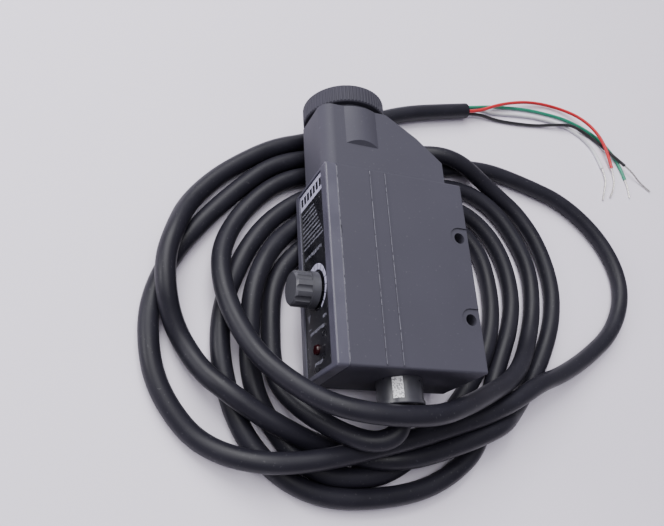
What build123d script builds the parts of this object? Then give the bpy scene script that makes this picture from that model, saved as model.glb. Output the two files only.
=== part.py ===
"""Photoelectric mark sensor with a knurled lens cap, a dial and a loose coil of its own cable.

Every piece is modelled in the housing's own corner frame, in millimetres: x runs from the dial
face to the back edge, y from the cable end to the lens, z from the underside to the broad face.
write() then moves it so that the origin is midway between the two mounting holes, on the underside.
"""
import math
import os

from build123d import *

# ---------------------------------------------------------------- driving dimensions
WIDTH = 55.0
LENGTH = 72.3
THICK = 28.8
WALL = 2.2
MID_Z = THICK / 2

HOLE_R = 2.1
HOLE_PITCH = 31.0
HOLE_X = WIDTH - 3.6
HOLE_MID_Y = 34.3
HOLE_RECESS_R = 4.0
HOLE_RECESS_DEPTH = 0.5
HOLE_YS = (HOLE_MID_Y - HOLE_PITCH / 2, HOLE_MID_Y + HOLE_PITCH / 2)
BACK_COLUMN = 9.2
RIB_XS = (17.0, 23.0)
RIB_HALF_WIDTH = 0.3
RIB_HEIGHT = 0.3
CATCH_Y = (45.0, 48.0)
EDGE_R = 0.9

BEZEL = 4.0
GASKET = 0.2
SHELL_X = BEZEL + GASKET
LABEL_Y = (1.8, 71.0)
LABEL_Z = (3.4, 24.4)
LABEL_DEPTH = 0.9
LABEL_THICK = 0.4

BARREL_X = 15.6
BARREL_R = 15.0
BARREL_Y = (82.0, 97.8)
BARREL_SLOPE = 45
BORE_R = 12.4
NECK_TOP = 28.0
NECK_CORNER_R = 4.5
NECK_BOTTOM = THICK - NECK_TOP
COLLAR_R = 13.15
COLLAR_END = 105.4
LENS_R = 10.9
CELL_BACK = 99.2

CAP_R = 15.6
CAP_Y = (99.9, 107.1)
CAP_LIP = 0.9
CAP_WINDOW_R = 10.2
CAP_RIBS = 72
RIB_GROOVE_R = 0.42
RIB_GROOVE_DEPTH = 0.24
RUNNING = 0.1

KNOB_Y = 29.6
KNOB_R = 6.4
KNOB_X = (-8.8, -0.25)
KNOB_GRIP_R = 6.1
KNOB_SKIRT_X = -2.9
KNOB_FLUTES = 10
FLUTE_R = 1.5
FLUTE_DEPTH = 0.6
SHAFT_R = 1.5
SHAFT_END_X = -7.0
SHAFT_HOLE_R = 3.4
SHAFT_PLAY = 0.06

LED_Y = 9.4
LED_Z = 13.0
LED_R = 1.8

BOARD_X = (11.0, 12.6)
BOARD_Y = (4.0, 50.5)
BOARD_Z = (3.0, 25.8)

OPTICS_Y = (56.0, 70.0)
OPTICS_HALF = 10.0
CHANNEL_HALF = 5.0
SPLIT_Y = 64.0
EMITTER_Y = 54.2
EMITTER_R = 2.5

GLAND_X = 28.5
GLAND_R = 7.8
GLAND_LENGTH = 9.0
GLAND_RIM = 1.4
GLAND_THREAD_R = 6.0
GLAND_SEAL_R = 5.2
GLAND_FLOOR = 1.2

CORD_R = 3.5
FLOOR = -8.2
CORD_Z = FLOOR + CORD_R
WIRE_R = 0.8
CORE_R = 0.45
WIRE_SPREAD = 1.08
WIRE_Z = FLOOR + WIRE_R
CORE_Z = FLOOR + CORE_R

TO_ORIGIN = Location((-HOLE_X, -HOLE_MID_Y, 0))

os.makedirs("parts", exist_ok=True)


# ---------------------------------------------------------------- helpers
def write(name, *solids):
    """Move the solids to the part's origin and write them as one node."""
    shape = solids[0] if len(solids) == 1 else Compound(children=list(solids))
    export_step(shape.moved(TO_ORIGIN), f"parts/{name}.step")


def block(x, y, z):
    """A box between two x, two y and two z values."""
    size = (x[1] - x[0], y[1] - y[0], z[1] - z[0])
    return Pos((x[0] + x[1]) / 2, (y[0] + y[1]) / 2, (z[0] + z[1]) / 2) * Box(*size)


def rod_x(y, z, radius, x):
    return Pos((x[0] + x[1]) / 2, y, z) * Rot(0, 90, 0) * Cylinder(radius, x[1] - x[0])


def rod_y(x, z, radius, y):
    return Pos(x, (y[0] + y[1]) / 2, z) * Rot(90, 0, 0) * Cylinder(radius, y[1] - y[0])


def rod_z(x, y, radius, z):
    return Pos(x, y, (z[0] + z[1]) / 2) * Cylinder(radius, z[1] - z[0])


def ring_y(x, z, outer, inner, y):
    return rod_y(x, z, outer, y) - rod_y(x, z, inner, (y[0] - 1, y[1] + 1))


def prism(points, z):
    """A straight-sided solid on an outline in the xy plane, between two heights."""
    face = make_face(Polyline(*points, close=True))
    return Pos(0, 0, z[0]) * extrude(face, z[1] - z[0])


def tube(name, points, radius):
    """A round tube along straight runs that are joined by tangent arcs as large as the runs allow."""
    corners = [Vector(*p) for p in points]
    radii = []
    for before, here, after in zip(corners, corners[1:], corners[2:]):
        turn = math.radians((here - before).get_angle(after - here))
        shorter = min((here - before).length, (after - here).length)
        radii.append(0.45 * shorter / math.tan(turn / 2))
    path = FilletPolyline(*points, radius=radii)
    section = Plane(origin=path @ 0, z_dir=path % 0) * Circle(radius)
    solid = sweep(section, path=path)
    share = solid.volume / (math.pi * radius ** 2 * path.length)
    bends = " ".join(f"{r:.0f}" for r in radii)
    print(f"{name}: length {path.length:.0f} mm, volume ratio {share:.3f}, radii {bends}")
    return solid


def write_tube(name, points, radius):
    write(name, tube(name, points, radius))


# ---------------------------------------------------------------- housing
def barrel_crest():
    """The parts of the barrel that stand proud of the neck, each with a flat slope at its near end."""
    crest = rod_y(BARREL_X, MID_Z, BARREL_R, BARREL_Y)
    above = 2 * BARREL_R
    for side in (1, -1):
        foot = Pos(BARREL_X, BARREL_Y[0], MID_Z + side * (NECK_TOP - MID_Z))
        slope = Rot(side * BARREL_SLOPE, 0, 0) * Pos(0, 0, side * above / 2) * Box(above, 2 * above, above)
        crest -= foot * slope
    return crest


def neck():
    """The flat neck with its square upper side, and the round lens barrel that it carries."""
    start = LENGTH - 1.0
    back_side = [(BARREL_X, start), (48.6, start), (48.6, 81.0), (38.7, 90.0), (26.5, BARREL_Y[1]),
                 (BARREL_X, BARREL_Y[1])]
    plate = prism(back_side, (NECK_BOTTOM, NECK_TOP))
    dial_side = block((BARREL_X - BARREL_R, BARREL_X), (start, BARREL_Y[1]), (MID_Z - 5, NECK_TOP))
    upper_corner = dial_side.edges().filter_by(Axis.Y).sort_by(Axis.X)[:2].sort_by(Axis.Z)[-1]
    dial_side = fillet(upper_corner, NECK_CORNER_R)
    full = rod_y(BARREL_X, MID_Z, BARREL_R, (start, BARREL_Y[1]))
    belly = full & block((-1, 40), (start, BARREL_Y[1]), (NECK_BOTTOM, NECK_TOP))
    collar = rod_y(BARREL_X, MID_Z, COLLAR_R, (BARREL_Y[1] - 1, COLLAR_END))
    return plate + dial_side + belly + barrel_crest() + collar


def hole_recess(y):
    """The shallow seat round a mounting hole, open to the back edge."""
    top = (THICK - HOLE_RECESS_DEPTH, THICK + 1)
    round_end = rod_z(HOLE_X, y, HOLE_RECESS_R, top)
    open_end = block((HOLE_X, WIDTH + 1), (y - HOLE_RECESS_R, y + HOLE_RECESS_R), top)
    return round_end + open_end


def housing_shell():
    body = block((SHELL_X, WIDTH), (0, LENGTH), (0, THICK))
    body = fillet(body.edges().filter_by(Axis.X), EDGE_R)
    body = fillet(body.faces().sort_by(Axis.X)[-1].edges(), 0.7)
    for y in HOLE_YS:
        body -= hole_recess(y)
    for x in RIB_XS:
        rib_x = (x - RIB_HALF_WIDTH, x + RIB_HALF_WIDTH)
        body += block(rib_x, (EDGE_R, LENGTH - EDGE_R), (THICK - 1, THICK + RIB_HEIGHT))
    body += neck() & block((SHELL_X, WIDTH), (LENGTH - 1, COLLAR_END), (-5, 40))
    body += neck() & block((-5, SHELL_X), (LENGTH + 0.05, COLLAR_END), (-5, 40))
    body -= block((SHELL_X - 1, WIDTH - BACK_COLUMN), (WALL, LENGTH - WALL), (WALL, THICK - WALL))
    body -= rod_y(BARREL_X, MID_Z, BORE_R, (LENGTH - WALL - 1, COLLAR_END + 1))
    for y in HOLE_YS:
        body -= rod_z(HOLE_X, y, HOLE_R, (-1, THICK + 1))
    body -= rod_y(GLAND_X, MID_Z, GLAND_THREAD_R + 0.05, (-1, WALL + 1))
    catch = block((SHELL_X - 1, SHELL_X + 0.5), CATCH_Y, (THICK - 0.5, THICK + 1))
    return body - catch


def front_bezel():
    """The dial-side frame: a recess for the label, holes for shaft and lamp, four snap tongues."""
    body = block((0, BEZEL), (0, LENGTH), (0, THICK))
    body = fillet(body.edges().filter_by(Axis.X), EDGE_R)
    body = fillet(body.faces().sort_by(Axis.X)[0].edges(), 0.6)
    body -= block((-1, LABEL_DEPTH), LABEL_Y, LABEL_Z)
    body -= rod_x(KNOB_Y, MID_Z, SHAFT_HOLE_R, (-1, BEZEL + 1))
    body -= rod_x(LED_Y, LED_Z, LED_R, (-1, BEZEL + 1))
    bottom = WALL + 0.05
    top = THICK - bottom
    tongue = 0.75
    for y in (16.0, 52.0):
        for z in ((bottom, bottom + tongue), (top - tongue, top)):
            body += block((BEZEL - 0.5, 10.0), (y - 3, y + 3), z)
    return body


def bezel_gasket():
    """A thin frame between bezel and shell, set back a little from their outer faces."""
    lip = 0.2
    outer = block((BEZEL, SHELL_X), (lip, LENGTH - lip), (lip, THICK - lip))
    outer = fillet(outer.edges().filter_by(Axis.X), 0.8)
    inner = block((BEZEL - 1, SHELL_X + 1), (WALL, LENGTH - WALL), (WALL, THICK - WALL))
    return outer - inner


def label_plate():
    gap = 0.1
    x = (LABEL_DEPTH - LABEL_THICK, LABEL_DEPTH)
    body = block(x, (LABEL_Y[0] + gap, LABEL_Y[1] - gap), (LABEL_Z[0] + gap, LABEL_Z[1] - gap))
    body -= rod_x(KNOB_Y, MID_Z, SHAFT_HOLE_R, (-1, BEZEL))
    return body - rod_x(LED_Y, LED_Z, LED_R, (-1, BEZEL))


# ---------------------------------------------------------------- sensitivity control
def sensitivity_knob():
    """A fluted grip over a plain skirt, with a blind bore for the shaft."""
    skirt = rod_x(KNOB_Y, MID_Z, KNOB_R, (KNOB_SKIRT_X, KNOB_X[1]))
    grip = rod_x(KNOB_Y, MID_Z, KNOB_GRIP_R, (KNOB_X[0], KNOB_SKIRT_X))
    grip = chamfer(grip.faces().sort_by(Axis.X)[0].edges(), 0.7)
    reach = KNOB_GRIP_R - FLUTE_DEPTH + FLUTE_R
    groove_x = (KNOB_X[0] - 1, KNOB_SKIRT_X - 0.3)
    for i in range(KNOB_FLUTES):
        angle = 2 * math.pi * i / KNOB_FLUTES
        y = KNOB_Y + reach * math.cos(angle)
        z = MID_Z + reach * math.sin(angle)
        grip -= rod_x(y, z, FLUTE_R, groove_x)
    return skirt + grip - rod_x(KNOB_Y, MID_Z, SHAFT_R, (SHAFT_END_X, KNOB_X[1] + 1))


def pot_shaft():
    return rod_x(KNOB_Y, MID_Z, SHAFT_R, (SHAFT_END_X, 9.0))


def pot_body():
    """The potentiometer's case and its bushing, with a running bore for the shaft."""
    case = block((5.2, BOARD_X[0]), (KNOB_Y - 4.9, KNOB_Y + 4.9), (MID_Z - 4.8, MID_Z + 4.8))
    bushing = rod_x(KNOB_Y, MID_Z, 3.1, (2.3, 5.2))
    return case + bushing - rod_x(KNOB_Y, MID_Z, SHAFT_R + SHAFT_PLAY, (2, 9.3))


def shaft_seal():
    seal = rod_x(KNOB_Y, MID_Z, SHAFT_HOLE_R, (1.0, 2.2))
    return seal - rod_x(KNOB_Y, MID_Z, SHAFT_R + SHAFT_PLAY, (0, 3))


# ---------------------------------------------------------------- indicator
def indicator_window():
    """A red light pipe whose domed end shows through the label."""
    radius = LED_R - 0.02
    rim_x = 0.4
    pipe = rod_x(LED_Y, LED_Z, radius, (rim_x, 6.6))
    dome = Pos(rim_x, LED_Y, LED_Z) * Sphere(radius)
    return pipe + (dome & block((-0.5, rim_x), (0, 20), (0, 25)))


def indicator_led():
    body = rod_x(LED_Y, LED_Z, 1.5, (6.8, 10.2))
    return body + rod_x(LED_Y, LED_Z, 1.9, (10.2, BOARD_X[0]))


# ---------------------------------------------------------------- lens end
def lens_cap():
    """The knurled cap that turns on the collar, with an inward lip in front of the lens."""
    body = rod_y(BARREL_X, MID_Z, CAP_R, CAP_Y)
    body = chamfer(body.edges().filter_by(GeomType.CIRCLE), 0.5)
    reach = CAP_R - RIB_GROOVE_DEPTH + RIB_GROOVE_R
    for i in range(CAP_RIBS):
        angle = 2 * math.pi * i / CAP_RIBS
        x = BARREL_X + reach * math.cos(angle)
        z = MID_Z + reach * math.sin(angle)
        body -= rod_y(x, z, RIB_GROOVE_R, (CAP_Y[0] - 1, CAP_Y[1] + 1))
    body -= rod_y(BARREL_X, MID_Z, COLLAR_R + RUNNING, (CAP_Y[0] - 1, CAP_Y[1] - CAP_LIP))
    return body - rod_y(BARREL_X, MID_Z, CAP_WINDOW_R, (CAP_Y[0], CAP_Y[1] + 1))


def lens_cell():
    """The sliding ring that holds the front lens inside the collar."""
    sleeve = ring_y(BARREL_X, MID_Z, BORE_R - RUNNING, LENS_R + 0.1, (CELL_BACK, 105.6))
    return sleeve + ring_y(BARREL_X, MID_Z, 11.5, 9.6, (CELL_BACK, CELL_BACK + 2))


def front_lens():
    """A flat-backed lens with a shallow front dome."""
    dome_r = 24.0
    edge_r = 9.8
    edge_y = 104.0
    centre_y = edge_y - math.sqrt(dome_r ** 2 - edge_r ** 2)
    disc = rod_y(BARREL_X, MID_Z, LENS_R + 0.05, (CELL_BACK + 2, edge_y))
    ball = Pos(BARREL_X, centre_y, MID_Z) * Sphere(dome_r)
    return disc + (ball & rod_y(BARREL_X, MID_Z, edge_r, (edge_y - 0.5, edge_y + 4)))


def lens_seal():
    return ring_y(BARREL_X, MID_Z, 12.2, 10.4, (105.6, CAP_Y[1] - CAP_LIP - 0.05))


def lens_tube():
    return ring_y(BARREL_X, MID_Z, BORE_R - 0.02, LENS_R, (72.4, 97.0))


def condenser_lens():
    """A lens that is domed on both sides, seated in the lens tube."""
    middle = 90.0
    dome_r = 26.0
    half = 2.2
    front = Pos(BARREL_X, middle + half - dome_r, MID_Z) * Sphere(dome_r)
    back = Pos(BARREL_X, middle - half + dome_r, MID_Z) * Sphere(dome_r)
    return front & back & rod_y(BARREL_X, MID_Z, LENS_R - 0.02, (middle - 5, middle + 5))


def aperture_plate():
    plate = rod_y(BARREL_X, MID_Z, LENS_R - 0.02, (79.0, 79.8))
    slit = block((BARREL_X - 0.75, BARREL_X + 0.75), (78, 81), (MID_Z - 3, MID_Z + 3))
    return plate - slit


def optics_block():
    """A black block with one channel towards the lens and one towards the receiver."""
    x = (BARREL_X - OPTICS_HALF, BARREL_X + OPTICS_HALF)
    body = block(x, OPTICS_Y, (MID_Z - OPTICS_HALF, MID_Z + OPTICS_HALF))
    channel_x = (BARREL_X - CHANNEL_HALF, BARREL_X + CHANNEL_HALF)
    channel_z = (MID_Z - CHANNEL_HALF, MID_Z + CHANNEL_HALF)
    body -= block(channel_x, (OPTICS_Y[0] - 1, OPTICS_Y[1] + 1), channel_z)
    return body - block((BARREL_X, x[1] + 1), (SPLIT_Y - CHANNEL_HALF, SPLIT_Y + CHANNEL_HALF), channel_z)


def beam_splitter():
    return Pos(BARREL_X, SPLIT_Y, MID_Z) * Rot(0, 0, 45) * Box(11.0, 0.8, 10.0)


def emitter_holder():
    half = 6.0
    plate = block((BARREL_X - half, BARREL_X + half), (EMITTER_Y, OPTICS_Y[0]), (MID_Z - half, MID_Z + half))
    return plate - rod_y(BARREL_X, MID_Z, EMITTER_R + 0.05, (50, 60))


def emitter_led():
    dome_y = EMITTER_Y + 4
    body = rod_y(BARREL_X, MID_Z, EMITTER_R, (EMITTER_Y, dome_y))
    body += Pos(BARREL_X, dome_y, MID_Z) * Sphere(EMITTER_R)
    return body + rod_y(BARREL_X, MID_Z, EMITTER_R + 0.5, (EMITTER_Y - 1, EMITTER_Y))


def photodiode():
    """A metal can on a flange, with two legs."""
    x = BARREL_X + OPTICS_HALF
    flange = x + 1.2
    back = x + 4.4
    can = rod_x(SPLIT_Y, MID_Z, 5.6, (x, flange)) + rod_x(SPLIT_Y, MID_Z, 4.4, (flange, back))
    for side in (-1.3, 1.3):
        can += rod_x(SPLIT_Y + side, MID_Z, 0.3, (back, back + 4))
    return can


# ---------------------------------------------------------------- electronics
BOARD_CORNERS = [(y, z) for y in (7.0, 47.5) for z in (6.2, 22.6)]
SCREW_R = 0.9
SCREW_HEAD_R = 1.7


def main_board():
    board = block(BOARD_X, BOARD_Y, BOARD_Z)
    for y, z in BOARD_CORNERS:
        board -= rod_x(y, z, SCREW_R, (BOARD_X[0] - 1, BOARD_X[1] + 1))
    return board


def board_spacers():
    return [rod_x(y, z, SCREW_HEAD_R, (BEZEL, BOARD_X[0])) - rod_x(y, z, SCREW_R, (BEZEL + 2, 20))
            for y, z in BOARD_CORNERS]


def board_screws():
    screws = []
    for y, z in BOARD_CORNERS:
        shank = rod_x(y, z, SCREW_R, (BEZEL + 2.2, BOARD_X[1]))
        screws.append(shank + rod_x(y, z, SCREW_HEAD_R, (BOARD_X[1], BOARD_X[1] + 1.2)))
    return screws


def board_chips():
    x = (BOARD_X[1], BOARD_X[1] + 1.7)
    amplifiers = [block(x, (20.0, 25.0), z) for z in ((6.0, 10.0), (13.0, 17.0))]
    return [block(x, (31.0, 41.0), (9.0, 16.0)), *amplifiers]


def board_capacitors():
    x = BOARD_X[1]
    tall = [rod_x(y, 20.8, 2.5, (x, x + 7.0)) for y in (37.0, 29.0)]
    return [*tall, rod_x(27.5, 7.0, 2.0, (x, x + 5.0))]


def board_resistors():
    x = BOARD_X[1]
    rows = [(16.5, 6.0), (43.5, 11.0)]
    places = [(y, first + 3.0 * i) for y, first in rows for i in range(3)]
    return [block((x, x + 0.6), (y - 1, y + 1), (z - 0.6, z + 0.6)) for y, z in places]


def output_transistor():
    x = BOARD_X[1]
    z = (19.0, 24.0)
    tab = block((x, x + 1.0), (15.5, 24.5), z)
    return tab + block((x + 1.0, x + 3.0), (15.5, 21.5), z)


LEAD_Z = [MID_Z - 3.9 + 2.6 * i for i in range(4)]
INNER_SPREAD = 1.05


def wire_header():
    """Four solder posts in a moulded strip, next to the cable entry."""
    x = BOARD_X[1]
    strip = block((x, x + 3.0), (9.0, 11.6), (LEAD_Z[0] - 1.5, LEAD_Z[3] + 1.5))
    for z in LEAD_Z:
        strip += block((x + 3.0, x + 6.0), (9.9, 10.7), (z - 0.4, z + 0.4))
    return strip


def inner_leads():
    """The four cores from the cable's inner end to the solder posts."""
    leads = []
    for i, z in enumerate(LEAD_Z):
        spread = -INNER_SPREAD if i % 2 else INNER_SPREAD
        height = MID_Z - INNER_SPREAD if i < 2 else MID_Z + INNER_SPREAD
        points = [(GLAND_X + spread, 8.0, height), (GLAND_X + spread, 12.0, height),
                  (GLAND_X - 4.5 + spread, 15.0, (height + z) / 2), (BOARD_X[1] + 7.8, 10.3, z),
                  (BOARD_X[1] + 6.0, 10.3, z)]
        leads.append(tube(f"inner_lead_{i}", points, 0.75))
    return leads


# ---------------------------------------------------------------- cable entry
def cable_gland():
    """The entry boss with a raised rim, and the threaded part that passes through the wall."""
    body = rod_y(GLAND_X, MID_Z, GLAND_R, (-GLAND_LENGTH, 0))
    body += rod_y(GLAND_X, MID_Z, GLAND_R + 0.4, (-GLAND_LENGTH, GLAND_RIM - GLAND_LENGTH))
    body = fillet(body.faces().sort_by(Axis.Y)[0].edges(), 0.5)
    body += rod_y(GLAND_X, MID_Z, GLAND_THREAD_R, (0, 6.2))
    body -= rod_y(GLAND_X, MID_Z, CORD_R + 0.3, (-GLAND_LENGTH - 1, 8))
    return body - rod_y(GLAND_X, MID_Z, GLAND_SEAL_R, (GLAND_FLOOR - GLAND_LENGTH, 0))


def gland_seal():
    return ring_y(GLAND_X, MID_Z, GLAND_SEAL_R, CORD_R, (GLAND_FLOOR - GLAND_LENGTH, 0))


def gland_nut():
    depth = 3.0
    nut = extrude(RegularPolygon(8.6, 6, major_radius=False), depth)
    nut = Pos(GLAND_X, WALL + depth, MID_Z) * Rot(90, 0, 0) * nut
    return nut - rod_y(GLAND_X, MID_Z, GLAND_THREAD_R, (0, 10))


def jacket_inner_end():
    """The straight end of the cable's jacket, held inside the gland."""
    return rod_y(GLAND_X, MID_Z, CORD_R, (-GLAND_LENGTH, 8.0))


def gland_sticker():
    """A small paper tag on the gland, bent to its curve."""
    y = (GLAND_RIM + 0.4 - GLAND_LENGTH, -0.3)
    skin = ring_y(GLAND_X, MID_Z, GLAND_R + 0.12, GLAND_R, y)
    wedge = Pos(GLAND_X, (y[0] + y[1]) / 2, MID_Z) * Rot(0, -32, 0) * Pos(0, 0, 6) * Box(3.6, 8, 9)
    return skin & wedge


# ---------------------------------------------------------------- cord, laid under and round the sensor
def onward(points, step):
    """The point that lies one step further along a route's last run."""
    last = Vector(*points[-1])
    along = (last - Vector(*points[-2])).normalized()
    return tuple(last + along * step)


def beside(here, toward, reach):
    """The point level with here, off to the left of the way toward the other point."""
    along = Vector(toward[0] - here[0], toward[1] - here[1], 0).normalized()
    return (here[0] - along.Y * reach, here[1] + along.X * reach)


TAIL = [(31, 115, CORD_Z), (43, 122.4, CORD_Z), (58, 129, CORD_Z), (75, 134, CORD_Z),
        (89.8, 138, CORD_Z)]
COIL_OUTSIDE = [(-6, 102), (-26, 92), (-41, 74), (-49, 54), (-55, 30), (-55, 8), (-47, -10), (-30, -25),
                (-12, -34), (10, -39), (35, -39), (58, -33), (77, -20), (100, -2), (122, 8), (143, 19),
                (160, 37), (166, 60), (160, 81), (146, 95), (124, 104), (102, 111), (82, 115), (64, 116),
                (45, 114), beside(TAIL[0], TAIL[1], -3.9), beside(TAIL[0], TAIL[1], 3.9), (14, 110)]
COIL_INSIDE = [(-6, 20), (-5, 36), (1, 49), (11, 60), (26, 69), (45, 74), (64, 72), (76, 64), (80, 49),
               (79, 32), (75, 18), (66, 8), (50, 1), (30, -2), (10, -2), (-2, 2), (-5, 9)]
LEAD_IN_Y = (-13.0, -GLAND_LENGTH)


def cord_coil():
    """The outer shape of the loose turns: a flat layer under the sensor, a second round it, a hump."""
    under = FLOOR + 2 * CORD_R - 0.15
    top = under + 2 * CORD_R
    low = prism(COIL_OUTSIDE, (FLOOR, under)) - prism(COIL_INSIDE, (FLOOR - 1, under + 1))
    high = prism(COIL_OUTSIDE, (under, top)) - prism(COIL_INSIDE, (under - 1, top + 1))
    high -= block((-13, 58), (-3.6, 130), (under - 1, top + 1))
    hump = block((-6, 58), (-36, LEAD_IN_Y[0]), (top, 18.0))
    crest = block((0, 52), (-32, -9.6), (18.0, 25.4))
    return low + high + hump + crest


def wire_route(side, up, *points):
    """A core's route: it leaves the jacket's end face straight, at one of four places on it."""
    end = TAIL[-1]
    ahead = onward(TAIL, 8)
    x, y = beside(end, ahead, WIRE_SPREAD * side)
    z = CORD_Z + WIRE_SPREAD * up
    return [(x, y, z), (x + ahead[0] - end[0], y + ahead[1] - end[1], z), *points]


RED = wire_route(-1, 1, (107, 144.2, -3.4), (118, 149.4, -4.6), (130, 153.8, -5.8), (142, 156, -6.8),
                 (153, 155.4, -6.6), (162, 152.2, -5.2), (169, 146.6, -4.2), (174, 139.6, -4.2),
                 (177, 132, -5.2), (178.6, 124.6, -6.5))
GREEN = wire_route(1, 1, (107, 145.8, -6.6), (118, 148.5, WIRE_Z), (130, 150, -7.15), (142, 150.5, WIRE_Z),
                   (153, 149.9, -7.15), (163, 147.8, WIRE_Z), (172.8, 143.6, -7.15), (180.8, 136.8, WIRE_Z),
                   (185.4, 128.2, -7.15), (187, 119.6, WIRE_Z))
WHITE = wire_route(1, -1, (108, 142.6, WIRE_Z), (121, 144.8, -7.15), (134, 146.4, WIRE_Z),
                   (147, 146.2, -7.15), (157.6, 144, WIRE_Z), (166, 139, -7.15), (171, 131.4, WIRE_Z),
                   (172.4, 123.6, -7.15))
BLACK = wire_route(-1, -1, (109, 138.8, WIRE_Z), (122, 139.6, -7.15), (134.4, 141.4, WIRE_Z),
                   (146, 143.8, -6.2), (156.4, 145.4, -5.2), (166.6, 144, WIRE_Z), (175.2, 138.6, -7.1),
                   (181, 132.2, -5.8), (187.2, 127, -5.4))
RED_CORE = [RED[-1], onward(RED, 5), (177.6, 112.4, CORE_Z), (173.4, 107, -7.6)]
GREEN_CORE = [GREEN[-1], onward(GREEN, 5), (187.2, 109.2, CORE_Z)]
WHITE_CORE = [WHITE[-1], onward(WHITE, 6), (171, 111, CORE_Z), (168, 104.6, -7.6)]
BLACK_CORE = [BLACK[-1], onward(BLACK, 5), (197.6, 119.6, CORE_Z), (203.4, 115.6, -7.6)]


# ---------------------------------------------------------------- write every node
write("housing_shell", housing_shell())
write("front_bezel", front_bezel())
write("bezel_gasket", bezel_gasket())
write("label_plate", label_plate())
write("sensitivity_knob", sensitivity_knob())
write("pot_shaft", pot_shaft())
write("pot_body", pot_body())
write("shaft_seal", shaft_seal())
write("indicator_window", indicator_window())
write("indicator_led", indicator_led())
write("lens_cap", lens_cap())
write("lens_cell", lens_cell())
write("front_lens", front_lens())
write("lens_seal", lens_seal())
write("lens_tube", lens_tube())
write("condenser_lens", condenser_lens())
write("aperture_plate", aperture_plate())
write("optics_block", optics_block())
write("beam_splitter", beam_splitter())
write("emitter_holder", emitter_holder())
write("emitter_led", emitter_led())
write("photodiode", photodiode())
write("main_board", main_board())
write("board_spacers", *board_spacers())
write("board_screws", *board_screws())
write("board_chips", *board_chips())
write("board_capacitors", *board_capacitors())
write("board_resistors", *board_resistors())
write("output_transistor", output_transistor())
write("wire_header", wire_header())
write("inner_leads", *inner_leads())
write("cable_gland", cable_gland())
write("gland_seal", gland_seal())
write("gland_nut", gland_nut())
write("jacket_inner_end", jacket_inner_end())
write("gland_sticker", gland_sticker())
write("cord_coil", cord_coil())
write("cord_lead_in", rod_y(GLAND_X, MID_Z, CORD_R, LEAD_IN_Y))
write_tube("cord_tail", TAIL, CORD_R)
for colour, wire, core in (("red", RED, RED_CORE), ("green", GREEN, GREEN_CORE),
                           ("white", WHITE, WHITE_CORE), ("black", BLACK, BLACK_CORE)):
    write_tube(f"{colour}_wire", wire, WIRE_R)
    write_tube(f"{colour}_core", core, CORE_R)
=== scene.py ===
"""The visual model of a photoelectric mark sensor lying on a loose coil of its own cable.

Lengths are given in millimetres in the housing's corner frame, as in part.py: x runs from the dial
face to the back edge, y from the cable end to the lens, z from the underside to the broad face.
place() turns them into metres in the row frame.
"""
import math
import random

import bmesh
import bpy
from mathutils import Matrix, Quaternion, Vector


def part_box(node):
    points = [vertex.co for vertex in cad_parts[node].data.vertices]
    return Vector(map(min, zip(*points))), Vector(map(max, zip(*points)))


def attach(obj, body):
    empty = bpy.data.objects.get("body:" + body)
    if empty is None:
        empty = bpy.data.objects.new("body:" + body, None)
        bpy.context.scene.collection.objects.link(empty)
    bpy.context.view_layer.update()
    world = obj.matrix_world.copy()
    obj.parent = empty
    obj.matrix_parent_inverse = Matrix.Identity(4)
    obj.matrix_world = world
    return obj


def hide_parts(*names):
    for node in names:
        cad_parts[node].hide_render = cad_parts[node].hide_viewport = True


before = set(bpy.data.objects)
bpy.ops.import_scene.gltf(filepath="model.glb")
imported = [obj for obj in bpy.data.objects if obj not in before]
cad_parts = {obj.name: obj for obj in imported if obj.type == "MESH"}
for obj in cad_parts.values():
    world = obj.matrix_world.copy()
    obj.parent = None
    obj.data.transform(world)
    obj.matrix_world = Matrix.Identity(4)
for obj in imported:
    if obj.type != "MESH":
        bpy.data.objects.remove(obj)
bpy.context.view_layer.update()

MM = 0.001
CORNER = Vector(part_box("front_bezel")[0])
FLOOR_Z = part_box("cord_coil")[0][2]
CORD_R = 3.5
CORD_D = 2 * CORD_R
FLOOR = (FLOOR_Z - CORNER.z) / MM
WIRE_R = 0.8
CORE_R = 0.45


def place(x, y, z):
    """A point in metres in the row frame, from millimetres in the housing's corner frame."""
    return CORNER + Vector((x, y, z)) * MM


# ---------------------------------------------------------------- camera
CAMERA_AT = (-84.7, -56.3, 212.3)
CAMERA_LOOK = Vector((0.3837, 0.4062, -0.8293))
CAMERA_ROLL = 45.1
CAMERA_LENS = 37.4


def add_camera():
    """The camera, at the photographed angle of the housing."""
    data = bpy.data.cameras.new("camera")
    data.lens = CAMERA_LENS
    data.clip_start = 0.01
    data.clip_end = 20
    camera = bpy.data.objects.new("camera", data)
    bpy.context.collection.objects.link(camera)
    turn = CAMERA_LOOK.to_track_quat("-Z", "Y") @ Quaternion((0, 0, 1), math.radians(CAMERA_ROLL))
    camera.matrix_world = Matrix.Translation(place(*CAMERA_AT)) @ turn.to_matrix().to_4x4()
    bpy.context.scene.camera = camera


add_camera()


# ---------------------------------------------------------------- materials
def new_material(name):
    """A new material: its data, its nodes, what links them, its shader and the object's coordinates."""
    mat = bpy.data.materials.new(name)
    mat.use_nodes = True
    nodes = mat.node_tree.nodes
    shader = nodes["Principled BSDF"]
    coords = nodes.new("ShaderNodeTexCoord")
    return mat, nodes, mat.node_tree.links.new, shader, coords.outputs["Object"]


def noise(nodes, link, where, size_mm, detail=3.0, stretch=(1, 1, 1)):
    """Noise whose blotches are about size_mm across."""
    mapping = nodes.new("ShaderNodeMapping")
    mapping.inputs["Scale"].default_value = stretch
    link(where, mapping.inputs["Vector"])
    tex = nodes.new("ShaderNodeTexNoise")
    tex.inputs["Scale"].default_value = 1 / (size_mm * MM)
    tex.inputs["Detail"].default_value = detail
    link(mapping.outputs["Vector"], tex.inputs["Vector"])
    return tex.outputs["Fac"]


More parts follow.
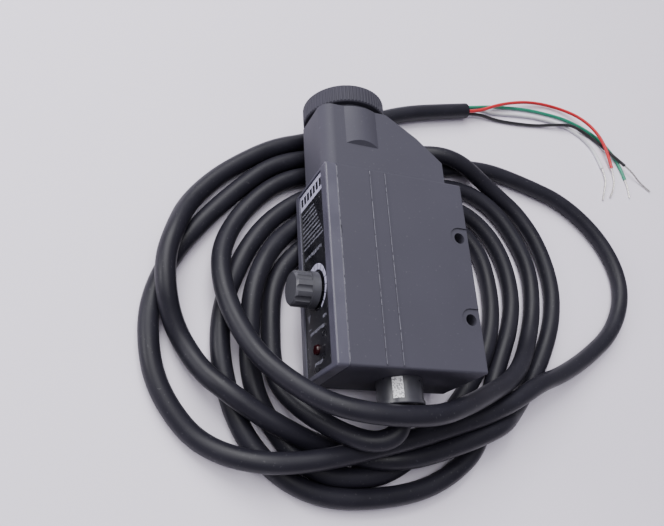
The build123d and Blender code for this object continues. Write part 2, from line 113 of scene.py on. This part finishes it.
NOISE_LOW = 0.3
NOISE_HIGH = 0.7
BLACK = (0, 0, 0)
DUST_GREY = (0.5, 0.5, 0.52)
SCUFF_TINT = 1.9


def ramp(nodes, link, value, low, high):
    """A colour ramp between two stops, each a (position, colour)."""
    node = nodes.new("ShaderNodeValToRGB")
    link(value, node.inputs["Fac"])
    for element, (position, colour) in zip(node.color_ramp.elements, (low, high)):
        element.position = position
        element.color = (*colour, 1)
    return node.outputs["Color"]


def spread(nodes, link, value, low, high):
    """The range where noise mostly lies, mapped to low..high."""
    node = nodes.new("ShaderNodeMapRange")
    node.inputs["From Min"].default_value = NOISE_LOW
    node.inputs["From Max"].default_value = NOISE_HIGH
    node.inputs["To Min"].default_value = low
    node.inputs["To Max"].default_value = high
    link(value, node.inputs["Value"])
    return node.outputs["Result"]


def over(nodes, link, base, value, first, full, amount, colour):
    """The base with a colour over it, from none where the value is first to the amount where it is full."""
    mask = ramp(nodes, link, value, (first, BLACK), (full, (amount,) * 3))
    node = nodes.new("ShaderNodeMix")
    node.data_type = "RGBA"
    link(mask, node.inputs["Factor"])
    link(base, node.inputs["A"])
    node.inputs["B"].default_value = (*colour, 1)
    return node.outputs["Result"]


def tint(colour, factor):
    return tuple(min(1.0, c * factor) for c in colour)


def finish(name, colour, rough, mottle, depth, grain, bump, metal=0.0, coat=0.0, scuffs=0.0, dust=0.0,
           gloss=0.5, stretch=(1, 1, 1)):
    """A moulded, turned or drawn surface: mottled colour, uneven gloss, fine grain, scuffs and dust.

    mottle and grain are blotch sizes in mm, depth is how far the colour strays from its middle.
    """
    mat, nodes, link, shader, where = new_material(name)
    broad = noise(nodes, link, where, mottle, stretch=stretch)
    darker = tint(colour, 1 - depth)
    lighter = tint(colour, 1 + depth)
    base = ramp(nodes, link, broad, (NOISE_LOW, darker), (NOISE_HIGH, lighter))
    fine = noise(nodes, link, where, grain, detail=2.0, stretch=stretch)
    if scuffs:
        streaks = noise(nodes, link, where, 2.2, detail=6.0, stretch=(0.12, 1, 0.5))
        base = over(nodes, link, base, streaks, 0.66, 0.74, scuffs, tint(colour, SCUFF_TINT))
    if dust:
        specks = noise(nodes, link, where, 0.9, detail=1.0)
        base = over(nodes, link, base, specks, 0.7, 0.76, dust, DUST_GREY)
    link(base, shader.inputs["Base Color"])
    link(spread(nodes, link, broad, *rough), shader.inputs["Roughness"])
    relief = nodes.new("ShaderNodeBump")
    relief.inputs["Strength"].default_value = bump
    relief.inputs["Distance"].default_value = 0.1 * MM
    link(fine, relief.inputs["Height"])
    link(relief.outputs["Normal"], shader.inputs["Normal"])
    shader.inputs["Metallic"].default_value = metal
    shader.inputs["Coat Weight"].default_value = coat
    shader.inputs["Specular IOR Level"].default_value = gloss
    return mat


def glass(name, colour):
    """Coated optical glass, with faint wipe marks in its gloss."""
    mat, nodes, link, shader, where = new_material(name)
    marks = noise(nodes, link, where, 3.0, detail=4.0)
    base = ramp(nodes, link, marks, (NOISE_LOW, tint(colour, 0.9)), (NOISE_HIGH, colour))
    link(base, shader.inputs["Base Color"])
    link(spread(nodes, link, marks, 0.04, 0.1), shader.inputs["Roughness"])
    shader.inputs["Transmission Weight"].default_value = 0.85
    shader.inputs["IOR"].default_value = 1.52
    shader.inputs["Coat Weight"].default_value = 0.6
    return mat


def speckled_paper(name):
    """White paper printed with fine broken dots."""
    mat, nodes, link, shader, where = new_material(name)
    dots = noise(nodes, link, where, 0.55, detail=4.0)
    ink = (0.28, 0.28, 0.3)
    white = (0.82, 0.82, 0.84)
    link(ramp(nodes, link, dots, (0.42, ink), (0.5, white)), shader.inputs["Base Color"])
    shader.inputs["Roughness"].default_value = 0.6
    return mat


HOUSING_GREY = (0.045, 0.0435, 0.06)
BEZEL_GREY = (0.062, 0.06, 0.085)
housing_plastic = finish("housing_plastic", HOUSING_GREY, rough=(0.56, 0.68), mottle=20, depth=0.03,
                         grain=0.22, bump=0.16, scuffs=0.05, dust=0.05, gloss=0.28)
bezel_plastic = finish("bezel_plastic", BEZEL_GREY, rough=(0.34, 0.46), mottle=10, depth=0.06,
                       grain=0.22, bump=0.14, scuffs=0.08, dust=0.08)
cap_plastic = finish("cap_plastic", (0.037, 0.0355, 0.049), rough=(0.6, 0.72), mottle=7, depth=0.08,
                     grain=0.2, bump=0.18, scuffs=0.08, gloss=0.2)
knob_plastic = finish("knob_plastic", (0.05, 0.05, 0.06), rough=(0.34, 0.46), mottle=4, depth=0.08,
                      grain=0.2, bump=0.12, scuffs=0.1)
gland_plastic = finish("gland_plastic", (0.036, 0.036, 0.045), rough=(0.26, 0.38), mottle=5, depth=0.1,
                       grain=0.25, bump=0.1, scuffs=0.06)
black_rubber = finish("black_rubber", (0.014, 0.014, 0.016), rough=(0.6, 0.75), mottle=3, depth=0.15,
                      grain=0.15, bump=0.2)
seam_rubber = finish("seam_rubber", (0.24, 0.235, 0.28), rough=(0.45, 0.6), mottle=3, depth=0.25,
                     grain=0.3, bump=0.2)
label_black = finish("label_black", (0.007, 0.007, 0.01), rough=(0.22, 0.36), mottle=8, depth=0.2,
                     grain=0.4, bump=0.05, coat=0.2, dust=0.25)
label_white = finish("label_white", (0.4, 0.39, 0.52), rough=(0.35, 0.45), mottle=3, depth=0.1,
                     grain=0.3, bump=0.05)
label_pale = finish("label_pale", (0.16, 0.16, 0.2), rough=(0.4, 0.5), mottle=1.2, depth=0.4, grain=0.3,
                    bump=0.05)
red_lens = finish("red_lens", (0.02, 0.0025, 0.004), rough=(0.04, 0.07), mottle=2, depth=0.2, grain=0.5,
                  bump=0.02, gloss=0.25)
# Painted highlight: a pale grey for the thin lines painted along the ribs' and the seam's edges, where light
# catches them.
painted_highlight_plastic = finish("painted_highlight_plastic", (0.17, 0.168, 0.2), rough=(0.5, 0.65), mottle=1.5, depth=0.35,
                      grain=0.2, bump=0.1)
steel = finish("steel", (0.5, 0.5, 0.51), rough=(0.25, 0.4), mottle=4, depth=0.08, grain=0.12, bump=0.1,
               metal=1.0, stretch=(1, 0.1, 1))
anodised = finish("anodised", (0.03, 0.03, 0.034), rough=(0.35, 0.5), mottle=4, depth=0.1, grain=0.15,
                  bump=0.15, metal=0.6)
black_plastic = finish("black_plastic", (0.02, 0.02, 0.022), rough=(0.45, 0.6), mottle=5, depth=0.12,
                       grain=0.2, bump=0.15)
board_green = finish("board_green", (0.012, 0.11, 0.045), rough=(0.25, 0.4), mottle=2.5, depth=0.2,
                     grain=0.5, bump=0.1, coat=0.4)
chip_black = finish("chip_black", (0.018, 0.018, 0.019), rough=(0.5, 0.62), mottle=2, depth=0.1,
                    grain=0.1, bump=0.2)
can_aluminium = finish("can_aluminium", (0.62, 0.62, 0.64), rough=(0.22, 0.34), mottle=3, depth=0.06,
                       grain=0.1, bump=0.1, metal=1.0)
pot_blue = finish("pot_blue", (0.03, 0.06, 0.22), rough=(0.35, 0.5), mottle=3, depth=0.1, grain=0.2,
                  bump=0.12)
ceramic = finish("ceramic", (0.05, 0.045, 0.04), rough=(0.4, 0.5), mottle=1, depth=0.2, grain=0.1,
                 bump=0.1)
gold = finish("gold", (0.75, 0.52, 0.2), rough=(0.2, 0.32), mottle=1.5, depth=0.08, grain=0.1,
              bump=0.08, metal=1.0)
led_red = finish("led_red", (0.35, 0.02, 0.015), rough=(0.1, 0.2), mottle=1.5, depth=0.15, grain=0.4,
                 bump=0.04, coat=0.6)
tinned = finish("tinned", (0.62, 0.6, 0.57), rough=(0.22, 0.36), mottle=1.2, depth=0.12, grain=0.08,
                bump=0.2, metal=1.0)
paper = speckled_paper("paper")
lens_coating = glass("lens_coating", (0.62, 0.7, 0.92))
clear_glass = glass("clear_glass", (0.9, 0.95, 0.93))
jacket = finish("jacket", (0.0115, 0.011, 0.017), rough=(0.38, 0.5), mottle=12, depth=0.14, grain=0.5,
                bump=0.1, scuffs=0.03, dust=0.05, gloss=0.24)
insulation = {
    "red": finish("insulation_red", (0.5, 0.012, 0.02), rough=(0.3, 0.42), mottle=5, depth=0.08,
                  grain=0.3, bump=0.06),
    "green": finish("insulation_green", (0.012, 0.22, 0.13), rough=(0.3, 0.42), mottle=5, depth=0.08,
                    grain=0.3, bump=0.06),
    "white": finish("insulation_white", (0.6, 0.6, 0.63), rough=(0.35, 0.48), mottle=5, depth=0.06,
                    grain=0.3, bump=0.06),
    "black": finish("insulation_black", (0.015, 0.015, 0.017), rough=(0.3, 0.42), mottle=5, depth=0.1,
                    grain=0.3, bump=0.06),
}

FINISHES = {
    housing_plastic: ["housing_shell"],
    bezel_plastic: ["front_bezel"],
    cap_plastic: ["lens_cap"],
    knob_plastic: ["sensitivity_knob"],
    gland_plastic: ["cable_gland"],
    black_rubber: ["shaft_seal", "lens_seal", "gland_seal"],
    seam_rubber: ["bezel_gasket"],
    label_black: ["label_plate"],
    red_lens: ["indicator_window"],
    steel: ["pot_shaft", "board_screws", "gland_nut"],
    anodised: ["lens_cell", "lens_tube", "aperture_plate"],
    black_plastic: ["optics_block", "emitter_holder", "board_spacers"],
    board_green: ["main_board"],
    chip_black: ["board_chips", "output_transistor"],
    can_aluminium: ["board_capacitors", "photodiode"],
    pot_blue: ["pot_body"],
    ceramic: ["board_resistors"],
    gold: ["wire_header"],
    led_red: ["indicator_led", "emitter_led"],
    paper: ["gland_sticker"],
    lens_coating: ["front_lens", "condenser_lens"],
    clear_glass: ["beam_splitter"],
    jacket: ["jacket_inner_end"],
    insulation["white"]: ["inner_leads"],
}
for mat, names in FINISHES.items():
    for name in names:
        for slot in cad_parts[name].material_slots:
            slot.material = mat


# ---------------------------------------------------------------- pieces
def add_piece(name, data, mat):
    """A piece of its own from a mesh or a curve."""
    data.materials.append(mat)
    piece = bpy.data.objects.new(name, data)
    bpy.context.collection.objects.link(piece)
    return piece


def settle(piece, slot, *nodes):
    """The piece stays with the housing and takes the nodes' place; slot is not used."""
    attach(piece, "housing")
    if nodes:
        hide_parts(*nodes)
    return piece


def closed_mesh(name, shape, mat):
    """A piece from a bmesh, with its faces turned outward."""
    bmesh.ops.recalc_face_normals(shape, faces=shape.faces)
    mesh = bpy.data.meshes.new(name)
    shape.to_mesh(mesh)
    shape.free()
    return add_piece(name, mesh, mat)


def thin_plate(shape, front, back):
    """A closed plate between two outlines that have the same number of corners."""
    near = [shape.verts.new(at) for at in front]
    far = [shape.verts.new(at) for at in back]
    shape.faces.new(near)
    shape.faces.new(far[::-1])
    for i in range(len(near)):
        j = (i + 1) % len(near)
        shape.faces.new((near[j], near[i], far[i], far[j]))


def add_line(data, points):
    """A smooth line in a curve, with these points, in metres, as its control points."""
    spline = data.splines.new("NURBS")
    spline.points.add(len(points) - 1)
    for control, at in zip(spline.points, points):
        control.co = (*at, 1)
    spline.order_u = 3
    spline.use_endpoint_u = True


def round_curve(name, radius, fineness, steps):
    """Curve data whose lines are round rods, with so many steps between their points."""
    data = bpy.data.curves.new(name, "CURVE")
    data.dimensions = "3D"
    data.resolution_u = steps
    data.bevel_depth = radius * MM
    data.bevel_resolution = fineness
    data.use_fill_caps = True
    return data


def cord_piece(name, route, radius, mat):
    """A round cord whose smooth line has the route's points as its control points."""
    data = round_curve(name, radius, 5, 8)
    add_line(data, [place(*at) for at in route])
    return add_piece(name, data, mat)


# ---------------------------------------------------------------- cable
# Each point is (x, y, level): level 0 lies on the floor, level 1 one cable diameter higher.
EXIT = [(28.5, -9, 2.73), (28.5, -13.6, 2.72), (25.8, -18.3, 2.6), (19.5, -19.8, 2.2), (12, -17, 1.75),
        (4.5, -12.2, 1.25), (-2, -6.5, 0.75), (-7.5, 1, 0.27), (-9.5, 10, 0)]
LOOP_1 = [(-9.5, 22, 0), (-9, 34, 0), (-6, 43, 0), (0, 51, 0), (9, 59, 0), (20, 65, 0), (34, 70, 0),
          (50, 74, 0), (66, 76, 0), (78, 72, 0), (85, 62, 0), (87, 49, 0), (86, 34, 0), (80, 18, 0),
          (70, 5, 0), (58, -8, 0), (48, -17, 0), (38, -24, 0), (28, -28.2, 0), (17, -28.7, 0), (7, -27.5, 0)]
LOOP_2 = [(-2, -22, 0), (-9, -13, 0), (-14.5, -4, 0), (-17.5, 7, 0.1), (-18, 19, 0.4), (-17.5, 31, 0.5),
          (-14.5, 42, 0.5), (-8.5, 53, 0.2), (-1, 61.5, 0), (8, 68.5, 0), (20, 74, 0), (34, 78, 0),
          (50, 81.5, 0), (66, 84, 0), (80, 82, 0), (91, 73, 0), (97, 60, 0), (98, 44, 0), (94, 30, 0),
          (87, 17, 0), (80, 4, 0), (75, -8, 0), (69, -19, 0), (60, -26, 0), (50, -31, 0), (39, -34, 0),
          (27, -35.3, 0), (16, -35.5, 0), (5, -34, 0)]
LOOP_3 = [(-6, -29, 0), (-16, -20, 0), (-22, -10, 0), (-25.5, 1, 0), (-27.5, 12, 0), (-27.5, 23, 0),
          (-25.5, 33, 0), (-22, 42, 0), (-17.8, 51.5, 0), (-11, 62, 0), (-1.5, 71.3, 0), (8, 77.5, 0),
          (20, 82, 0), (34, 85.5, 0), (50, 89, 0), (66, 92.5, 0), (81, 93.5, 0), (95, 87, 0),
          (104.5, 74, 0), (110, 58, 0), (108, 40, 0), (100, 23, 0.3), (90, 11, 1.0), (80, 4, 1.6),
          (68, -1.5, 2.2), (54, -7.5, 3.0), (40, -12.4, 3.6), (25, -13.4, 3.77), (10, -12, 3.6)]
LOOP_4 = [(-1, -8, 3.1), (-10, -1, 2.5), (-17.5, 7, 1.9), (-23, 16.5, 1.5), (-27, 27, 1.15),
          (-29, 38, 0.85), (-28, 49, 0.4), (-23, 61, 0), (-15, 72, 0), (-6, 80.5, 0), (4, 86, 0),
          (17, 89.5, 0), (30, 92.5, 0), (45, 96, 0), (60, 99.5, 0), (72, 102.5, 0), (85, 105.5, 0),
          (99, 106, 0), (118, 102, 0), (137, 96.5, 0), (153.5, 83, 0), (162, 66, 0), (161, 49.5, 0),
          (150, 32.5, 0), (132, 20, 0.1), (113, 10.5, 0.6), (97, 5, 1.15), (84, -2, 1.4), (69, -8.5, 1.45),
          (53, -13, 1.45), (38, -17.2, 1.5), (28, -19.3, 1.5), (19, -21.3, 1.15), (7, -23.6, 1.3)]
LOOP_5 = [(-4, -25, 1.15), (-15, -25, 1.0), (-26, -22, 0.4), (-35.5, -16.5, 0), (-43, -8, 0),
          (-48.5, 2, 0), (-51, 13, 0), (-51.5, 25, 0), (-48.5, 37, 0), (-43, 48, 0), (-36, 58, 0),
          (-28, 68, 0), (-19, 78, 0), (-9, 87.5, 0), (3, 93.5, 0), (17, 97, 0), (32, 100, 0),
          (46, 103.5, 0.1), (57, 105, 0.5), (67, 104.5, 1.05), (77, 102, 1.1), (88, 98.5, 0.5),
          (99, 93, 0.1), (109, 86, 0), (117.5, 72, 0), (121, 53, 0), (117.5, 36, 0), (109, 20, 0),
          (99, 6.5, 0), (89, -4, 0.1), (79, -10.8, 0.95), (67, -15.5, 1.05), (54, -19.6, 1.0),
          (40, -23.2, 1.0), (29, -23.8, 0.8), (20, -21.8, 0.15), (11, -19.3, 0.1)]
LOOP_6 = [(2, -17.6, 0.55), (-8, -14.2, 1.05), (-17.5, -9.3, 1.1), (-26, -3.5, 1.1), (-34, 4, 0.5),
          (-40, 14, 0.1), (-44.5, 22, 0.4), (-47.5, 31, 1.0), (-48, 42, 1.05), (-45, 53, 0.9),
          (-40, 66, 0.2), (-30, 79, 0), (-19, 88.5, 0), (-6.5, 97.3, 0), (6, 102.3, 0), (18, 107.5, 0)]
TAIL = [(31, 115, 0), (43, 122.4, 0), (58, 129, 0), (75, 134, 0), (89.8, 138, 0)]


def height(level):
    """The height of the cable's middle, in mm."""
    return FLOOR + CORD_R + CORD_D * level


CABLE = [(x, y, height(level))
         for x, y, level in EXIT + LOOP_1 + LOOP_2 + LOOP_3 + LOOP_4 + LOOP_5 + LOOP_6 + TAIL]
cable = cord_piece("cable", CABLE, CORD_R, jacket)
settle(cable, "cord_black", "cord_lead_in", "cord_coil", "cord_tail")


# ---------------------------------------------------------------- wires out of the jacket's end
def beside(here, toward, reach):
    """The point level with here, off to the left of the way toward the other point."""
    along = Vector((toward[0] - here[0], toward[1] - here[1])).normalized()
    return (here[0] - along.y * reach, here[1] + along.x * reach)


def onward(route, step):
    """The point that lies one step further along a route's last run."""
    last = Vector(route[-1])
    return tuple(last + (last - Vector(route[-2])).normalized() * step)


WIRE_Z = FLOOR + WIRE_R
CORE_Z = FLOOR + CORE_R
WIRE_SPREAD = 1.08


def wire_route(side, up, *points):
    """A core's route: it leaves the jacket's end face straight, at one of four places on it."""
    end = CABLE[-1]
    ahead = onward(CABLE, 8)
    x, y = beside(end, ahead, WIRE_SPREAD * side)
    z = end[2] + WIRE_SPREAD * up
    return [(x, y, z), (x + ahead[0] - end[0], y + ahead[1] - end[1], z), *points]


WIRES = {
    "red": wire_route(-1, 1, (107, 144.2, -3.4), (118, 149.4, -4.6), (130, 153.8, -5.8), (142, 156, -6.8),
                      (153, 155.4, -6.6), (162, 152.2, -5.2), (169, 146.6, -4.2), (174, 139.6, -4.2),
                      (177, 132, -5.2), (178.6, 124.6, -6.5)),
    "green": wire_route(1, 1, (107, 145.8, -6.6), (118, 148.5, WIRE_Z), (130, 150, -7.15),
                        (142, 150.5, WIRE_Z), (153, 149.9, -7.15), (163, 147.8, WIRE_Z),
                        (172.8, 143.6, -7.15), (180.8, 136.8, WIRE_Z), (185.4, 128.2, -7.15),
                        (187, 119.6, WIRE_Z)),
    "white": wire_route(1, -1, (108, 142.6, WIRE_Z), (121, 144.8, -7.15), (134, 146.4, WIRE_Z),
                        (147, 146.2, -7.15), (157.6, 144, WIRE_Z), (166, 139, -7.15), (171, 131.4, WIRE_Z),
                        (172.4, 123.6, -7.15)),
    "black": wire_route(-1, -1, (109, 138.8, WIRE_Z), (122, 139.6, -7.15), (134.4, 141.4, WIRE_Z),
                        (146, 143.8, -6.2), (156.4, 145.4, -5.2), (166.6, 144, WIRE_Z),
                        (175.2, 138.6, -7.1), (181, 132.2, -5.8), (187.2, 127, -5.4)),
}
CORES = {
    "red": [WIRES["red"][-1], onward(WIRES["red"], 5), (177.6, 112.4, CORE_Z), (173.4, 107, -7.6)],
    "green": [WIRES["green"][-1], onward(WIRES["green"], 5), (187.2, 109.2, CORE_Z)],
    "white": [WIRES["white"][-1], onward(WIRES["white"], 6), (171, 111, CORE_Z), (168, 104.6, -7.6)],
    "black": [WIRES["black"][-1], onward(WIRES["black"], 5), (197.6, 119.6, CORE_Z), (203.4, 115.6, -7.6)],
}
STRAND_R = 0.16
STRANDS = 6
LAY_LENGTH = 7.0
UP = Vector((0, 0, 1))


def centreline(route):
    """Points along a route's smooth line, in metres in the row frame."""
    curve = cord_piece("centreline", route, 0, tinned)
    mesh = bpy.data.meshes.new_from_object(curve)
    points = [v.co.copy() for v in mesh.vertices]
    bpy.data.objects.remove(curve)
    bpy.data.meshes.remove(mesh)
    return points


def strand(line, turn):
    """One strand's points, wound round a line from a share of a whole turn."""
    points = []
    travelled = 0
    reach = (CORE_R - STRAND_R) * MM
    for j, at in enumerate(line):
        behind = line[max(j - 1, 0)]
        ahead = line[min(j + 1, len(line) - 1)] - behind
        travelled += (at - behind).length / MM
        angle = 2 * math.pi * (turn + travelled / LAY_LENGTH)
        side = ahead.cross(UP).normalized()
        upward = side.cross(ahead).normalized()
        points.append(at + (side * math.cos(angle) + upward * math.sin(angle)) * reach)
    return points


def bare_strands(name, route):
    """Tinned strands twisted round the end of a core."""
    line = centreline(route)
    data = round_curve(name, STRAND_R, 2, 12)
    for i in range(STRANDS):
        add_line(data, strand(line, i / STRANDS))
    return add_piece(name, data, tinned)


for colour, route in WIRES.items():
    strands = settle(bare_strands(f"{colour}_strands", CORES[colour]), "tinned_copper", f"{colour}_core")
    lead = cord_piece(f"{colour}_lead", route, WIRE_R, insulation[colour])
    settle(lead, f"wire_{colour}", f"{colour}_wire")


MOUTH_SIDES = 40
FILLER_R = 2.6


def jacket_mouth():
    """The square-cut end of the jacket, a ring round the recessed filler that the wires come out of."""
    shape = bmesh.new()
    end = Vector(CABLE[-1])
    along = (Vector(onward(CABLE, 1)) - end).normalized()
    side = along.cross(UP).normalized()
    upward = side.cross(along)
    profile = [(CORD_R - 0.01, -2.0), (CORD_R + 0.02, -0.1), (CORD_R - 0.06, 0.02),
               (FILLER_R + 0.15, 0.02), (FILLER_R + 0.05, -0.05), (FILLER_R, 0)]
    rings = []
    for reach, forward in profile:
        ring = []
        for i in range(MOUTH_SIDES):
            angle = 2 * math.pi * i / MOUTH_SIDES
            outward = side * math.cos(angle) + upward * math.sin(angle)
            ring.append(shape.verts.new(place(*(end + along * forward + outward * reach))))
        rings.append(ring)
    for ring, further in zip(rings, rings[1:]):
        for i in range(MOUTH_SIDES):
            j = (i + 1) % MOUTH_SIDES
            shape.faces.new((ring[i], ring[j], further[j], further[i]))
    shape.faces.new(rings[-1])
    shape.faces.new(rings[0][::-1])
    return settle(closed_mesh("jacket_mouth", shape, jacket), "cord_black")


jacket_mouth()


# ---------------------------------------------------------------- label print
LABEL_X = (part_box("label_plate")[0][0] - CORNER.x) / MM
PRINT = 0.03
KNOB_AT = (29.6, 14.4)


def printed(name, outlines, mat):
    """Thin raised print on the label: each outline is a list of (y, z) corners."""
    shape = bmesh.new()
    for outline in outlines:
        front = [place(LABEL_X - PRINT, y, z) for y, z in outline]
        back = [place(LABEL_X, y, z) for y, z in outline]
        thin_plate(shape, front, back)
    return settle(closed_mesh(name, shape, mat), "label_film")


def bar(y, z):
    """The corners of a bar between two y and two z values."""
    return [(y[0], z[0]), (y[1], z[0]), (y[1], z[1]), (y[0], z[1])]


def header():
    """The white band across the label's top, with a row of plain gaps for its heading."""
    band_y = (64.4, 70.7)
    text_y = (65.9, 69.2)
    edge_z = (3.7, 24.1)
    gaps = 7
    post = 0.8
    bars = [bar((band_y[0], text_y[0]), edge_z), bar((text_y[1], band_y[1]), edge_z)]
    pitch = (edge_z[1] - edge_z[0] - post) / gaps
    for i in range(gaps + 1):
        z = edge_z[0] + i * pitch
        bars.append(bar(text_y, (z, z + post)))
    printed("label_header", bars, label_white)


def dash_rows(name, rows, mat, seed):
    """Rows of short dashes that stand for small print: each row is (y, tallness, first z, last z)."""
    draw = random.Random(seed)
    dashes = []
    for y, tall, low, high in rows:
        z = low
        while z < high:
            long = draw.uniform(0.35, 0.8) * tall
            short = draw.uniform(0, 0.4) * tall
            dashes.append(bar((y + short, y + tall), (z, min(z + long, high))))
            z += long + 0.35 * tall
    printed(name, dashes, mat)


def dial_scale():
    """The crescent scale round the knob, cut by fine gaps, thicker toward one end."""
    start, end = 155, -27
    parts = 9
    inner = 7.3
    thin, thick = 0.7, 2.6
    cut = 0.06
    last = 5
    outlines = []
    for i in range(parts):
        inside, outside = [], []
        for k in range(last + 1):
            share = (i + cut + (1 - 2 * cut) * k / last) / parts
            angle = math.radians(start + share * (end - start))
            outer = inner + thin + (thick - thin) * share
            for ring, radius in ((inside, inner), (outside, outer)):
                y = KNOB_AT[0] + radius * math.cos(angle)
                z = KNOB_AT[1] + radius * math.sin(angle)
                ring.append((y, z))
        outlines.append(inside + outside[::-1])
    printed("label_scale", outlines, label_white)


SMALL_PRINT = [(48.0 + 1.7 * i, 0.75, 5.0, 22.5 - 0.8 * i) for i in range(9)]
TITLE = [(43.2, 1.5, 6.0, 20.5)]
CAPTIONS = [(15.4, 1.2, 7.5, 19.5), (4.3, 1.2, 10.0, 16.5), (18.2, 1.3, 18.6, 21.4),
            (17.6, 0.5, 6.5, 8.5)]

header()
dash_rows("label_small_print", SMALL_PRINT, label_pale, 3)
dash_rows("label_title", TITLE, label_pale, 5)
dash_rows("label_captions", CAPTIONS, label_pale, 7)
dial_scale()
printed("label_pointer", [[(23.1, 5.6), (23.1, 8.4), (20.5, 7.0)]], label_pale)


# ---------------------------------------------------------------- painted edge highlights
BROAD_FACE = (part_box("front_bezel")[1][2] - CORNER.z) / MM
RIB_TOP = BROAD_FACE + 0.3
RIB_EDGES = {"painted_highlight_rib_a": 16.8, "painted_highlight_rib_b": 22.8}
SEAM_X = 4.3
HIGHLIGHT_Y = (1.2, 71.0)
HIGHLIGHT_WIDTH = 0.16
HIGHLIGHT_HEIGHT = 0.02


def painted_highlight_line(name, x, z, seed):
    """A fine pale line, broken here and there, painted along an edge of the housing as the highlight where
    light catches that edge.
    """
    draw = random.Random(seed)
    shape = bmesh.new()
    y = HIGHLIGHT_Y[0]
    while y < HIGHLIGHT_Y[1]:
        end = min(y + draw.uniform(1.5, 7), HIGHLIGHT_Y[1])
        half = HIGHLIGHT_WIDTH / 2 * draw.uniform(0.5, 1.1)
        corners = [(x - half, y), (x + half, y), (x + half, end), (x - half, end)]
        top = [place(*corner, z + HIGHLIGHT_HEIGHT) for corner in corners]
        foot = [place(*corner, z - HIGHLIGHT_HEIGHT) for corner in corners]
        thin_plate(shape, top, foot)
        y = end + draw.uniform(0.1, 1.2)
    return settle(closed_mesh(name, shape, painted_highlight_plastic), "grey_abs")


# Painted highlights along the two ribs and along the seam on the broad face.
for seed, (name, x) in enumerate(RIB_EDGES.items(), 11):
    painted_highlight_line(name, x, RIB_TOP, seed)
painted_highlight_line("painted_highlight_seam", SEAM_X, BROAD_FACE, 13)


# ---------------------------------------------------------------- floor and light
def paper_floor():
    """White paper with faint, very broad clouds."""
    mat, nodes, link, shader, where = new_material("floor_paper")
    cloud = noise(nodes, link, where, 260, detail=2.0)
    dim = (0.78, 0.735, 0.84)
    bright = (0.82, 0.775, 0.88)
    link(ramp(nodes, link, cloud, (NOISE_LOW, dim), (NOISE_HIGH, bright)), shader.inputs["Base Color"])
    shader.inputs["Roughness"].default_value = 0.75
    return mat


def add_floor():
    """A square floor, 5 m across, at the cable's lowest point."""
    half = 2.5
    mesh = bpy.data.meshes.new("floor")
    corners = [(-half, -half), (half, -half), (half, half), (-half, half)]
    mesh.from_pydata([(x, y, FLOOR_Z) for x, y in corners], [], [(0, 1, 2, 3)])
    mesh.materials.append(paper_floor())
    floor = bpy.data.objects.new("floor", mesh)
    bpy.context.collection.objects.link(floor)


def add_lamp(name, at, size, power):
    """A square soft light at a point in metres, which faces the middle of the housing."""
    data = bpy.data.lights.new(name, "AREA")
    data.size = size
    data.energy = power
    lamp = bpy.data.objects.new(name, data)
    bpy.context.collection.objects.link(lamp)
    lamp.location = at
    lamp.rotation_euler = (place(30, 40, 10) - Vector(at)).to_track_quat("-Z", "Y").to_euler()


def add_world():
    world = bpy.data.worlds.new("world")
    world.use_nodes = True
    background = world.node_tree.nodes["Background"]
    background.inputs["Color"].default_value = (0.87, 0.83, 0.95, 1)
    background.inputs["Strength"].default_value = 0.4
    bpy.context.scene.world = world


add_floor()
add_lamp("window", (-0.35, 0.75, 0.85), 0.8, 17)
add_lamp("ceiling", (-0.3, 0.1, 1.1), 0.9, 9.5)
add_lamp("side_window", (-0.85, 0.15, 0.35), 0.35, 4)
add_world()
